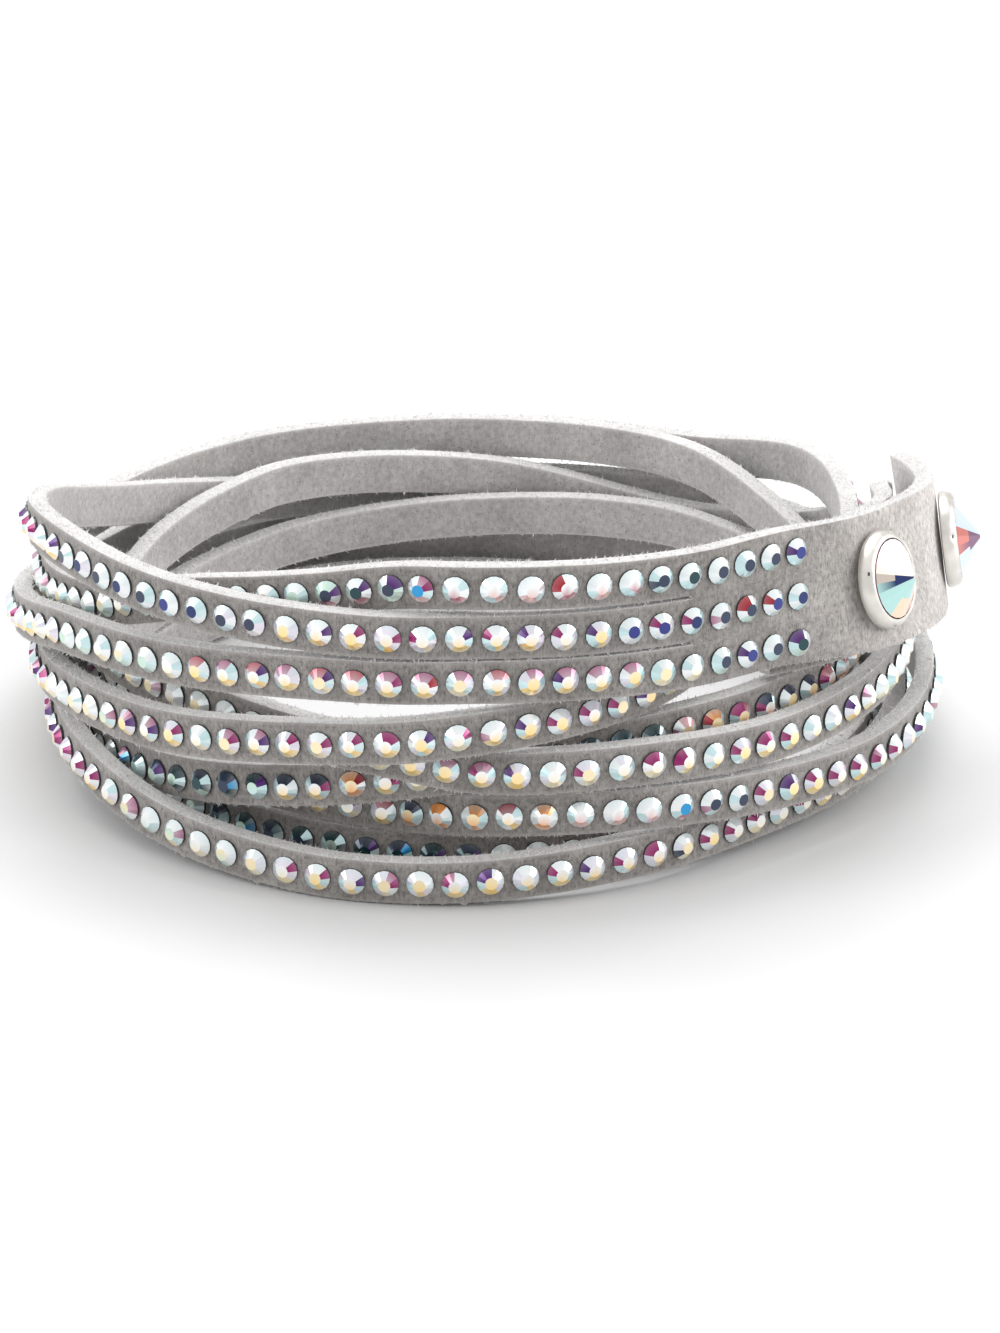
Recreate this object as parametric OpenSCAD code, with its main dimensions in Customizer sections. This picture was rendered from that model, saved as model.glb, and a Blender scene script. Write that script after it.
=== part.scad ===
// Wrap bracelet: a suede band slit into three strands that go three times round
// the wrist, set with rows of small flat-backed stones and closed by two press
// snaps under pointed crystals. It lies wound as it rests by itself.
// +Z is up, +X is the right side, -Y is the front, and Z = 0 is the surface.

/* [Suede band] */
// Thickness of the suede
suede_thickness = 1.3; // [1.2:0.05:1.35]
// Width of one of the three strands
strand_width = 2.95; // [2.7:0.05:2.95]
// Clearance left by each slit
slit_gap = 0.2; // [0.2:0.05:0.3]
// Degrees between two cross-sections of the band
section_step = 6; // [4:1:8]

/* [Stones] */
// Diameter of a small stone over its girdle
stone_diameter = 1.85; // [1.5:0.05:1.9]
// Diameter of a small stone's table
stone_table = 0.9; // [0.7:0.05:1.1]
// Height of a small stone above its flat back
stone_height = 0.55; // [0.4:0.05:0.6]
// Distance from one small stone to the next
stone_pitch = 2.26; // [2.1:0.01:2.4]
// Small stones in each row, counted from the end of the outer tab
stones_in_row = 72; // [40:1:72]

/* [Snaps] */
// Diameter of the metal setting of a snap cap, at its foot
cap_diameter = 6.7; // [6.4:0.1:7]
// Height of the metal setting
cap_height = 1.1; // [0.9:0.1:1.3]
// Thickness of the setting's rim at its lip
cap_rim = 0.3; // [0.25:0.05:0.4]
// Height of the pointed crystal above the setting's floor
crystal_height = 2.1; // [1.9:0.1:2.4]
// Facets round the pointed crystal
crystal_facets = 12; // [8:1:16]
// Diameter of the socket under a cap
socket_diameter = 5; // [4.6:0.1:5.4]
// Diameter of the stud's knob
knob_diameter = 2.8; // [2.4:0.1:3]

/* [Hidden] */

SUEDE = [0.66, 0.63, 0.60];
METAL = [0.84, 0.82, 0.78];
CRYSTAL = [0.82, 0.90, 0.95];

strand_pitch = strand_width + slit_gap;
cap_taper = 0.7;
pocket_diameter = cap_diameter - cap_taper - 2 * cap_rim;

// The route of the band is given round the Z axis, by the angle travelled
// clockwise from the right side (+X), seen from above. One turn is 360.
// Outer tab, which carries the two caps
// columns: angle, radius, height, lean of its face towards the sky
OUTER_TAB = [
    [-8, 30.5, 14.7, 8],
    [2, 31.3, 15.4, 8],
    [9, 31.6, 15.9, 8],
    [16, 31.7, 16.4, 12],
    [25, 31.5, 17.0, 16],
    [32, 31.4, 17.4, 16],
    [40, 31.1, 18.0, 10],
    [50, 30.4, 18.5, 4],
    [64, 31.0, 18.7, 3],
];

// Inner tab, which carries the two studs, same columns
INNER_TAB = [
    [1086, 28.5, 14.9, 9],
    [1092, 29.1, 15.2, 9],
    [1100, 29.0, 15.6, 13],
    [1110, 28.7, 16.1, 15],
    [1127, 27.9, 16.8, 6],
];

// The three strands between the tabs, a row for each fold
// columns: angle, then radius and height of the upper, middle and lower strand
TURN_1 = [
    [90, 32.7, 22.7, 32.7, 19.3, 32.7, 16.2],
    [100, 31.3, 22.1, 32.9, 19.2, 32.8, 16.0],
    [110, 30.7, 20.9, 32.9, 19.2, 32.8, 15.8],
    [130, 29.9, 18.4, 32.4, 19.2, 32.4, 14.7],
    [150, 29.8, 15.2, 31.8, 19.3, 32.0, 13.5],
    [165, 29.9, 13.7, 31.3, 18.5, 32.0, 11.7],
    [180, 30.1, 12.5, 30.3, 16.7, 32.0, 9.9],
    [195, 31.0, 11.7, 29.1, 14.3, 32.3, 8.2],
    [210, 31.3, 11.5, 29.0, 12.1, 32.9, 6.9],
    [240, 32.1, 11.6, 30.1, 8.6, 33.7, 7.9],
    [255, 31.5, 11.7, 30.7, 8.0, 33.9, 9.4],
    [270, 31.0, 11.8, 31.2, 7.9, 33.3, 10.9],
    [300, 29.3, 11.8, 31.6, 8.0, 31.7, 11.6],
    [320, 27.0, 10.5, 31.7, 7.9, 30.7, 13.3],
    [340, 26.0, 8.9, 31.0, 8.0, 27.6, 13.8],
    [352, 25.7, 8.9, 30.1, 8.2, 26.3, 13.8],
];
TURN_2 = [
    [360, 25.5, 9.2, 29.4, 8.2, 25.7, 13.7],
    [372, 26.3, 9.7, 29.3, 8.3, 25.5, 13.9],
    [390, 27.6, 10.2, 29.9, 8.6, 25.8, 14.1],
    [410, 28.2, 10.2, 30.3, 8.5, 25.3, 14.1],
    [430, 28.7, 10.0, 31.3, 9.2, 29.1, 13.2],
    [450, 29.5, 8.9, 31.5, 9.4, 32.6, 12.6],
    [460, 29.1, 7.9, 31.1, 10.1, 33.1, 11.9],
    [470, 29.5, 7.1, 30.7, 10.6, 32.7, 11.2],
    [490, 29.4, 5.4, 29.9, 11.5, 32.2, 9.7],
    [510, 28.2, 4.0, 28.9, 11.3, 31.3, 8.7],
    [525, 27.9, 2.8, 28.5, 10.8, 30.8, 7.8],
    [540, 27.0, 1.8, 28.2, 10.0, 30.2, 6.8],
    [555, 26.6, 1.7, 28.5, 8.3, 30.4, 4.9],
    [570, 26.6, 1.7, 29.8, 5.9, 31.4, 2.9],
    [585, 26.8, 2.0, 31.6, 4.9, 32.1, 1.8],
    [600, 27.2, 2.2, 31.9, 4.9, 32.0, 1.7],
    [630, 27.1, 1.8, 31.6, 4.8, 31.6, 1.6],
    [660, 27.0, 1.6, 31.6, 4.8, 31.6, 1.6],
    [695, 27.0, 1.6, 31.5, 4.8, 31.5, 1.6],
];
TURN_3 = [
    [720, 27.0, 1.7, 31.3, 4.6, 29.3, 1.8],
    [750, 26.6, 1.9, 31.0, 4.5, 28.8, 2.5],
    [770, 26.6, 1.9, 30.4, 5.0, 28.6, 2.4],
    [790, 27.1, 1.9, 30.9, 5.9, 30.5, 2.4],
    [810, 27.3, 1.9, 29.5, 5.6, 31.9, 1.9],
    [820, 27.0, 1.8, 27.5, 4.9, 32.1, 1.7],
    [830, 27.0, 1.9, 27.3, 5.1, 32.1, 1.7],
    [850, 26.6, 2.0, 27.0, 5.5, 31.5, 2.4],
    [870, 26.2, 3.2, 26.2, 6.4, 30.8, 3.8],
    [885, 25.9, 5.0, 26.1, 8.1, 29.9, 4.0],
    [900, 26.4, 5.0, 26.3, 8.2, 29.0, 3.6],
    [915, 26.4, 4.9, 26.3, 8.2, 28.6, 2.8],
    [930, 26.6, 5.0, 26.8, 9.0, 28.8, 2.6],
    [945, 26.9, 5.4, 27.3, 9.9, 29.2, 3.5],
    [960, 27.2, 6.0, 27.7, 10.6, 29.6, 4.3],
    [990, 27.0, 6.9, 28.7, 9.4, 29.3, 4.2],
    [1020, 26.9, 7.5, 29.2, 7.1, 29.3, 3.7],
    [1040, 27.4, 6.9, 29.4, 8.5, 29.5, 3.4],
    [1055, 28.9, 8.0, 29.8, 11.1, 29.0, 4.5],
    [1070, 28.3, 11.0, 28.9, 13.9, 27.8, 7.9],
    [1079, 28.0, 13.6, 28.3, 16.7, 27.6, 10.5],
];

// Strands by place in the tables' columns, and their order from low to high on
// each tab
UPPER = 0;
MIDDLE = 1;
LOWER = 2;
OUTER_ORDER = [LOWER, MIDDLE, UPPER];
INNER_ORDER = [LOWER, UPPER, MIDDLE];

outer_tip = OUTER_TAB[0][0];
outer_slit = OUTER_TAB[len(OUTER_TAB) - 1][0];
inner_slit = INNER_TAB[0][0];
inner_tip = INNER_TAB[len(INNER_TAB) - 1][0];

// Where a strand lies across a tab, -1 at the tab's foot, 0 or 1 at its top
function place_on(order, strand) = search(strand, order)[0] - 1;

// A tab's row as a row of the strands' table
function tab_row(row, order) = [
    row[0],
    for (strand = [UPPER, MIDDLE, LOWER])
        let (across = strand_pitch * place_on(order, strand))
        each [row[1] - across * sin(row[3]), row[2] + across * cos(row[3])]
];

ROUTE = [
    for (row = OUTER_TAB) tab_row(row, OUTER_ORDER),
    each TURN_1,
    each TURN_2,
    each TURN_3,
    for (row = INNER_TAB) tab_row(row, INNER_ORDER),
];

// Lean of the face along the band, upright between the tabs
LEAN = [
    for (row = OUTER_TAB) [row[0], row[3]],
    [95, 0],
    [1065, 0],
    for (row = INNER_TAB) [row[0], row[3]],
];

// Smooth curve through one column of a table, read at x
function last_row(table, x) = max([for (i = [0:len(table) - 2]) if (i == 0 || x >= table[i][0]) i]);
function slope(table, column, i) =
    let (before = max(i - 1, 0), after = min(i + 1, len(table) - 1))
    (table[after][column] - table[before][column]) / (table[after][0] - table[before][0]);
function smooth(table, column, x) =
    let (
        i = last_row(table, x),
        span = table[i + 1][0] - table[i][0],
        t = (x - table[i][0]) / span
    )
    (2 * t ^ 3 - 3 * t ^ 2 + 1) * table[i][column]
    + (t ^ 3 - 2 * t ^ 2 + t) * span * slope(table, column, i)
    + (3 * t ^ 2 - 2 * t ^ 3) * table[i + 1][column]
    + (t ^ 3 - t ^ 2) * span * slope(table, column, i + 1);

function unit(v) = v / norm(v);

// Middle of the turns, seen from the middle of the whole bracelet
MIDDLE_OF_TURNS = [-0.7, -0.3, -0.1];

// Centre of a strand at an angle
function centre(strand, angle) =
    let (
        radius = smooth(ROUTE, 1 + 2 * strand, angle),
        height = smooth(ROUTE, 2 + 2 * strand, angle)
    )
    MIDDLE_OF_TURNS + [radius * cos(angle), -radius * sin(angle), height];

// Directions at an angle: along the strand, across its width, out of its face
function frame(strand, angle) =
    let (
        along = unit(centre(strand, angle + 0.5) - centre(strand, angle - 0.5)),
        upright = unit([0, 0, 1] - along[2] * along),
        outward = cross(upright, along),
        lean = lookup(angle, LEAN)
    )
    [
        along,
        upright * cos(lean) - outward * sin(lean),
        outward * cos(lean) + upright * sin(lean),
    ];

// Point on a strand: across its width and out of its middle plane, in mm
function on_strand(strand, angle, across, out) =
    let (f = frame(strand, angle))
    centre(strand, angle) + across * f[1] + out * f[2];

// The four corners of a strand's section: low inside, low outside, high outside, high inside
function section(strand, angle) = [
    for (corner = [[-1, -1], [-1, 1], [1, 1], [1, -1]])
        on_strand(strand, angle, corner[0] * strand_width / 2, corner[1] * suede_thickness / 2)
];

// Two triangles over the strip between edges p and q of section i and the next
CORNERS = 12;
function strip(i, p, q) = [
    [i * CORNERS + p, i * CORNERS + q, (i + 1) * CORNERS + q],
    [i * CORNERS + p, (i + 1) * CORNERS + q, (i + 1) * CORNERS + p],
];
function corner(strand, k) = 4 * strand + k;

// Faces of a tab between two sections, its strands joined across the slits
function tab_strips(i, order) = [
    for (strand = order)
        each concat(
            strip(i, corner(strand, 0), corner(strand, 3)),
            strip(i, corner(strand, 2), corner(strand, 1))
        ),
    for (k = [0, 1])
        each concat(
            strip(i, corner(order[k], 3), corner(order[k + 1], 0)),
            strip(i, corner(order[k + 1], 1), corner(order[k], 2))
        ),
    each strip(i, corner(order[0], 1), corner(order[0], 0)),
    each strip(i, corner(order[2], 3), corner(order[2], 2)),
];

// Faces of the three loose strands between two sections
function strand_strips(i) = [
    for (strand = [UPPER, MIDDLE, LOWER], k = [0:3])
        each strip(i, corner(strand, (k + 1) % 4), corner(strand, k))
];

// One quadrilateral as two triangles
function quad(a, b, c, d) = [[a, b, c], [a, c, d]];

// Closed end of a tab, seen from the tip
function tip_faces(i, order) =
    let (
        at = function (place, k) i * CORNERS + corner(order[place], k),
        blocks = [for (place = [0:2]) quad(at(place, 0), at(place, 3), at(place, 2), at(place, 1))],
        links = [for (place = [0, 1]) quad(at(place, 3), at(place + 1, 0), at(place + 1, 1), at(place, 2))]
    )
    [for (pair = concat(blocks, links)) each pair];

// Closed ends of the two slits, seen along the slits towards the tab
function slit_faces(i, order) =
    let (at = function (place, k) i * CORNERS + corner(order[place], k))
    [
        for (place = [0, 1])
            each quad(at(place, 2), at(place + 1, 1), at(place + 1, 0), at(place, 3))
    ];

function flipped(faces) = [for (f = faces) [f[2], f[1], f[0]]];

// Angles of the sections: even steps over each tab and over the strands
function stations(from, to) =
    let (count = ceil((to - from) / section_step))
    [for (i = [0:count - 1]) from + (to - from) * i / count];
OUTER_SECTIONS = stations(outer_tip, outer_slit);
STRAND_SECTIONS = stations(outer_slit, inner_slit);
INNER_SECTIONS = stations(inner_slit, inner_tip);
SECTIONS = concat(OUTER_SECTIONS, STRAND_SECTIONS, INNER_SECTIONS, [inner_tip]);

// The band, one closed skin over all its sections
module suede_band() {
    first_slit = len(OUTER_SECTIONS);
    last_slit = first_slit + len(STRAND_SECTIONS);
    end = len(SECTIONS) - 1;
    points = [
        for (angle = SECTIONS, strand = [UPPER, MIDDLE, LOWER]) each section(strand, angle)
    ];
    faces = concat(
        flipped(tip_faces(0, OUTER_ORDER)),
        [for (i = [0:first_slit - 1]) each tab_strips(i, OUTER_ORDER)],
        flipped(slit_faces(first_slit, OUTER_ORDER)),
        [for (i = [first_slit:last_slit - 1]) each strand_strips(i)],
        slit_faces(last_slit, INNER_ORDER),
        [for (i = [last_slit:end - 1]) each tab_strips(i, INNER_ORDER)],
        tip_faces(end, INNER_ORDER)
    );
    color(SUEDE) polyhedron(points = points, faces = faces);
}

// Length along a strand from the start of its row, against the angle
row_start = 47.4;
function row_lengths(strand, step = 2, last = 400) =
    let (count = ceil((last - row_start) / step))
    [
        for (
            i = 0, angle = row_start, length = 0;
            i <= count;
            i = i + 1,
            length = length + norm(centre(strand, angle + step) - centre(strand, angle)),
            angle = angle + step
        ) [length, angle]
    ];

// A small stone: flat back, eight crown facets and a table
stone_seat = 0.06;
module stone(strand, angle) {
    f = frame(strand, angle);
    seat = on_strand(strand, angle, 0, suede_thickness / 2 + stone_seat);
    hull() placed(f, seat)
        cylinder(h = stone_height, d1 = stone_diameter, d2 = stone_table, $fn = 8);
}

// Places its children at a point, +X, +Y and +Z along the three directions of f
module placed(f, o) {
    multmatrix([
        [f[0][0], f[1][0], f[2][0], o[0]],
        [f[0][1], f[1][1], f[2][1], o[1]],
        [f[0][2], f[1][2], f[2][2], o[2]],
        [0, 0, 0, 1],
    ]) children();
}

module stone_row(strand) {
    lengths = row_lengths(strand);
    for (i = [0:stones_in_row - 1]) stone(strand, lookup(i * stone_pitch, lengths));
}

module stones_upper() {
    color(CRYSTAL) stone_row(UPPER);
}

module stones_middle() {
    color(CRYSTAL) stone_row(MIDDLE);
}

module stones_lower() {
    color(CRYSTAL) stone_row(LOWER);
}

// The two snaps go through the middle of the outer tab
// columns: angle, turn towards the tab's end, in degrees
SNAPS = [
    [33, 4],
    [8, 0],
];
FRONT = 0;
END = 1;
seat_gap = 0.15;

// Places its children on a snap's axis: +Z outwards from the tab's mid-plane
module on_snap(snap) {
    angle = SNAPS[snap][0];
    placed(frame(MIDDLE, angle), centre(MIDDLE, angle))
        rotate([0, -SNAPS[snap][1], 0]) children();
}

// Depth from the outer tab to the inner tab on a snap's axis, between mid-planes
function tab_depth(snap) =
    let (
        angle = SNAPS[snap][0],
        inner = centre(UPPER, angle + 3 * 360)
    )
    (centre(MIDDLE, angle) - inner) * frame(MIDDLE, angle)[2];

// Setting of a cap: a bowl that narrows to the lip round the crystal
floor_height = 0.4;
module snap_cap(snap) {
    on_snap(snap)
        translate([0, 0, suede_thickness / 2 + seat_gap])
            difference() {
                cylinder(h = cap_height, d1 = cap_diameter, d2 = cap_diameter - cap_taper, $fn = 64);
                translate([0, 0, floor_height]) cylinder(h = cap_height, d = pocket_diameter, $fn = 64);
            }
}

// Pointed crystal in a cap, from its girdle up to a small table at the point
crystal_gap = 0.1;
girdle_height = 0.6;
point_diameter = 0.4;
module crystal(snap) {
    girdle = pocket_diameter - 2 * crystal_gap;
    on_snap(snap)
        translate([0, 0, suede_thickness / 2 + seat_gap + floor_height + crystal_gap])
            hull() {
                cylinder(h = girdle_height, d = girdle, $fn = crystal_facets);
                cylinder(h = crystal_height, d = point_diameter, $fn = crystal_facets);
            }
}

// Socket under the outer tab, a ring that the stud's knob goes into
socket_seat = 0.4;
socket_height = 0.5;
knob_clearance = 0.15;
module socket(snap) {
    on_snap(snap)
        translate([0, 0, -suede_thickness / 2 - socket_seat - socket_height])
            difference() {
                cylinder(h = socket_height, d = socket_diameter, $fn = 48);
                translate([0, 0, -1])
                    cylinder(h = socket_height + 2, d = knob_diameter + 2 * knob_clearance, $fn = 48);
            }
}

// Stud on the inner tab: a foot on the suede and a knob up into the socket
stud_seat = 0.25;
stud_foot_height = 0.2;
stud_foot_diameter = socket_diameter - 0.4;
module stud(snap) {
    foot_level = -tab_depth(snap) + suede_thickness / 2 + stud_seat;
    knob_top = -suede_thickness / 2 - socket_seat - knob_clearance;
    on_snap(snap) translate([0, 0, foot_level]) {
        cylinder(h = stud_foot_height, d = stud_foot_diameter, $fn = 48);
        cylinder(h = knob_top - foot_level, d = knob_diameter, $fn = 48);
    }
}

module snap_cap_front() {
    color(METAL) snap_cap(FRONT);
}

module snap_cap_end() {
    color(METAL) snap_cap(END);
}

module crystal_front() {
    color(CRYSTAL) crystal(FRONT);
}

module crystal_end() {
    color(CRYSTAL) crystal(END);
}

module snap_socket_front() {
    color(METAL) socket(FRONT);
}

module snap_socket_end() {
    color(METAL) socket(END);
}

module snap_stud_front() {
    color(METAL) stud(FRONT);
}

module snap_stud_end() {
    color(METAL) stud(END);
}

suede_band();
stones_upper();
stones_middle();
stones_lower();
snap_cap_front();
snap_cap_end();
crystal_front();
crystal_end();
snap_socket_front();
snap_socket_end();
snap_stud_front();
snap_stud_end();
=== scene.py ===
"""Looks of the wrap bracelet: suede band, small stones, snap caps, floor and light."""

import math
import random

import bmesh
import bpy
from mathutils import Matrix, Vector, noise


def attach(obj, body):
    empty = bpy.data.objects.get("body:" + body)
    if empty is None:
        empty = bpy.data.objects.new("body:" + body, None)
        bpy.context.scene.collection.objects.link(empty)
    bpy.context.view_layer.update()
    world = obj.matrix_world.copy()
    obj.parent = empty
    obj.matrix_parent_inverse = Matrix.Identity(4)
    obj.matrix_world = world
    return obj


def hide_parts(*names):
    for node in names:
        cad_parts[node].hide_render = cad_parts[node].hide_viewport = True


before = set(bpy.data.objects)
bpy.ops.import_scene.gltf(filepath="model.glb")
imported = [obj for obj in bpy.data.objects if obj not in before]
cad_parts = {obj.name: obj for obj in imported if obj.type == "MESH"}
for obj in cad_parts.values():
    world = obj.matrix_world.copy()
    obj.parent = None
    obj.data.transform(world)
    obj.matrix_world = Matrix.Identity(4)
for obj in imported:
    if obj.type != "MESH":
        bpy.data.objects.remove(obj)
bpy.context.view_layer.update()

bl_info = {
    "name": "Wrap Bracelet",
    "version": (1, 0, 0),
    "blender": (4, 5, 0),
    "location": "3D View > Sidebar > Bracelet",
    "description": "Dresses a suede wrap bracelet with stones and crystal snap caps",
    "category": "Object",
}

MM = 0.001

# ---------------------------------------------------------------- the route

# Outer tab, then the inner tab: angle, radius, height, lean of the face (degrees)
OUTER_TAB = (
    (-8, 30.5, 14.7, 8), (2, 31.3, 15.4, 8), (9, 31.6, 15.9, 8), (16, 31.7, 16.4, 12),
    (25, 31.5, 17.0, 16), (32, 31.4, 17.4, 16), (40, 31.1, 18.0, 10), (50, 30.4, 18.5, 4),
    (64, 31.0, 18.7, 3),
)
INNER_TAB = (
    (1086, 28.5, 14.9, 9), (1092, 29.1, 15.2, 9), (1100, 29.0, 15.6, 13), (1110, 28.7, 16.1, 15),
    (1127, 27.9, 16.8, 6),
)
# The three turns: angle, then radius and height of the upper, middle and lower strand
TURNS = (
    (90, 32.7, 22.7, 32.7, 19.3, 32.7, 16.2),
    (100, 31.3, 22.1, 32.9, 19.2, 32.8, 16.0),
    (110, 30.7, 20.9, 32.9, 19.2, 32.8, 15.8),
    (130, 29.9, 18.4, 32.4, 19.2, 32.4, 14.7),
    (150, 29.8, 15.2, 31.8, 19.3, 32.0, 13.5),
    (165, 29.9, 13.7, 31.3, 18.5, 32.0, 11.7),
    (180, 30.1, 12.5, 30.3, 16.7, 32.0, 9.9),
    (195, 31.0, 11.7, 29.1, 14.3, 32.3, 8.2),
    (210, 31.3, 11.5, 29.0, 12.1, 32.9, 6.9),
    (240, 32.1, 11.6, 30.1, 8.6, 33.7, 7.9),
    (255, 31.5, 11.7, 30.7, 8.0, 33.9, 9.4),
    (270, 31.0, 11.8, 31.2, 7.9, 33.3, 10.9),
    (300, 29.3, 11.8, 31.6, 8.0, 31.7, 11.6),
    (320, 27.0, 10.5, 31.7, 7.9, 30.7, 13.3),
    (340, 26.0, 8.9, 31.0, 8.0, 27.6, 13.8),
    (352, 25.7, 8.9, 30.1, 8.2, 26.3, 13.8),
    (360, 25.5, 9.2, 29.4, 8.2, 25.7, 13.7),
    (372, 26.3, 9.7, 29.3, 8.3, 25.5, 13.9),
    (390, 27.6, 10.2, 29.9, 8.6, 25.8, 14.1),
    (410, 28.2, 10.2, 30.3, 8.5, 25.3, 14.1),
    (430, 28.7, 10.0, 31.3, 9.2, 29.1, 13.2),
    (450, 29.5, 8.9, 31.5, 9.4, 32.6, 12.6),
    (460, 29.1, 7.9, 31.1, 10.1, 33.1, 11.9),
    (470, 29.5, 7.1, 30.7, 10.6, 32.7, 11.2),
    (490, 29.4, 5.4, 29.9, 11.5, 32.2, 9.7),
    (510, 28.2, 4.0, 28.9, 11.3, 31.3, 8.7),
    (525, 27.9, 2.8, 28.5, 10.8, 30.8, 7.8),
    (540, 27.0, 1.8, 28.2, 10.0, 30.2, 6.8),
    (555, 26.6, 1.7, 28.5, 8.3, 30.4, 4.9),
    (570, 26.6, 1.7, 29.8, 5.9, 31.4, 2.9),
    (585, 26.8, 2.0, 31.6, 4.9, 32.1, 1.8),
    (600, 27.2, 2.2, 31.9, 4.9, 32.0, 1.7),
    (630, 27.1, 1.8, 31.6, 4.8, 31.6, 1.6),
    (660, 27.0, 1.6, 31.6, 4.8, 31.6, 1.6),
    (695, 27.0, 1.6, 31.5, 4.8, 31.5, 1.6),
    (720, 27.0, 1.7, 31.3, 4.6, 29.3, 1.8),
    (750, 26.6, 1.9, 31.0, 4.5, 28.8, 2.5),
    (770, 26.6, 1.9, 30.4, 5.0, 28.6, 2.4),
    (790, 27.1, 1.9, 30.9, 5.9, 30.5, 2.4),
    (810, 27.3, 1.9, 29.5, 5.6, 31.9, 1.9),
    (820, 27.0, 1.8, 27.5, 4.9, 32.1, 1.7),
    (830, 27.0, 1.9, 27.3, 5.1, 32.1, 1.7),
    (850, 26.6, 2.0, 27.0, 5.5, 31.5, 2.4),
    (870, 26.2, 3.2, 26.2, 6.4, 30.8, 3.8),
    (885, 25.9, 5.0, 26.1, 8.1, 29.9, 4.0),
    (900, 26.4, 5.0, 26.3, 8.2, 29.0, 3.6),
    (915, 26.4, 4.9, 26.3, 8.2, 28.6, 2.8),
    (930, 26.6, 5.0, 26.8, 9.0, 28.8, 2.6),
    (945, 26.9, 5.4, 27.3, 9.9, 29.2, 3.5),
    (960, 27.2, 6.0, 27.7, 10.6, 29.6, 4.3),
    (990, 27.0, 6.9, 28.7, 9.4, 29.3, 4.2),
    (1020, 26.9, 7.5, 29.2, 7.1, 29.3, 3.7),
    (1040, 27.4, 6.9, 29.4, 8.5, 29.5, 3.4),
    (1055, 28.9, 8.0, 29.8, 11.1, 29.0, 4.5),
    (1070, 28.3, 11.0, 28.9, 13.9, 27.8, 7.9),
    (1079, 28.0, 13.6, 28.3, 16.7, 27.6, 10.5),
)
UPPER, MIDDLE, LOWER = 0, 1, 2
OUTER_ORDER = (LOWER, MIDDLE, UPPER)
INNER_ORDER = (LOWER, UPPER, MIDDLE)
# Each snap's angle on the route and the turn of its cap about the tab's width, in degrees
SNAPS = {"front": (33, 4), "end": (8, 0)}

# Sizes in mm, places along the band as angles of the route
THICKNESS = 1.3
STRAND_WIDTH = 2.95
STRAND_PITCH = 3.15
MIDDLE_OF_TURNS = Vector((-0.7, -0.3, -0.1))
OUTER_TIP, OUTER_SLIT = OUTER_TAB[0][0], OUTER_TAB[-1][0]
INNER_SLIT, INNER_TIP = INNER_TAB[0][0], INNER_TAB[-1][0]
FIRST_STONE, LAST_STONE = 47.4, 1041.0
STONE_PITCH = 2.26
STONE_SEAT = 0.03
CAP_SEAT = 0.15
CAP_FLOOR = 0.4
CRYSTAL_GIRDLE = 5.34
CRYSTAL_GAP = 0.1
HALF_STEP = 0.5  # degrees to each side of the place where a direction is taken
FUZZ_STEP, STONE_STEP = 0.5, 0.25  # degrees in which a strand's length is measured


def tab_row(row, order):
    """One row of a tab as a row of the strands' table."""
    angle, radius, height, lean = row
    lean = math.radians(lean)
    out = [angle]
    for strand in (UPPER, MIDDLE, LOWER):
        across = STRAND_PITCH * (order.index(strand) - 1)
        out += [radius - across * math.sin(lean), height + across * math.cos(lean)]
    return out


ROUTE = (
    [tab_row(row, OUTER_ORDER) for row in OUTER_TAB]
    + [list(row) for row in TURNS]
    + [tab_row(row, INNER_ORDER) for row in INNER_TAB]
)
# Lean of the face along the band: the tabs lean, the strands between them stand upright
LEAN = (
    [(row[0], row[3]) for row in OUTER_TAB]
    + [(95, 0), (1065, 0)]
    + [(row[0], row[3]) for row in INNER_TAB]
)


def slope(column, i):
    """Slope of one column of the route at its row i."""
    before, after = max(i - 1, 0), min(i + 1, len(ROUTE) - 1)
    rise = ROUTE[after][column] - ROUTE[before][column]
    return rise / (ROUTE[after][0] - ROUTE[before][0])


def smooth(column, x):
    """Smooth curve through one column of the route at the angle x."""
    i = 0
    while i < len(ROUTE) - 2 and x >= ROUTE[i + 1][0]:
        i += 1
    span = ROUTE[i + 1][0] - ROUTE[i][0]
    t = (x - ROUTE[i][0]) / span
    return (
        (2 * t**3 - 3 * t**2 + 1) * ROUTE[i][column]
        + (t**3 - 2 * t**2 + t) * span * slope(column, i)
        + (3 * t**2 - 2 * t**3) * ROUTE[i + 1][column]
        + (t**3 - t**2) * span * slope(column, i + 1)
    )


def lean_at(x):
    """Lean of the band's face at the angle x, in radians."""
    for (a, low), (b, high) in zip(LEAN, LEAN[1:]):
        if x <= b:
            return math.radians(low + (high - low) * max(x - a, 0) / (b - a))
    return math.radians(LEAN[-1][1])


def centre(strand, angle):
    """Centre of a strand at an angle, in mm."""
    radius, height = smooth(1 + 2 * strand, angle), smooth(2 + 2 * strand, angle)
    turn = math.radians(angle)
    return MIDDLE_OF_TURNS + Vector((radius * math.cos(turn), -radius * math.sin(turn), height))


def directions(strand, angle):
    """Directions along a strand, across its width and out of its face."""
    along = (centre(strand, angle + HALF_STEP) - centre(strand, angle - HALF_STEP)).normalized()
    upright = (Vector((0, 0, 1)) - along.z * along).normalized()
    outward = upright.cross(along)
    lean = lean_at(angle)
    across = upright * math.cos(lean) - outward * math.sin(lean)
    out = outward * math.cos(lean) + upright * math.sin(lean)
    return along, across, out


def placing(origin, right, up, out):
    """Matrix that puts +X, +Y and +Z on the three directions, mm to metres."""
    matrix = Matrix((right, up, out)).transposed().to_4x4()
    matrix.translation = origin
    return Matrix.Scale(MM, 4) @ matrix


def new_object(name, bm, materials):
    """Object at the origin made from a bmesh that is in metres."""
    mesh = bpy.data.meshes.new(name)
    bm.to_mesh(mesh)
    bm.free()
    for material in materials:
        mesh.materials.append(material)
    piece = bpy.data.objects.new(name, mesh)
    bpy.context.scene.collection.objects.link(piece)
    return piece


# ----------------------------------------------------------------- shaders

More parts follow.
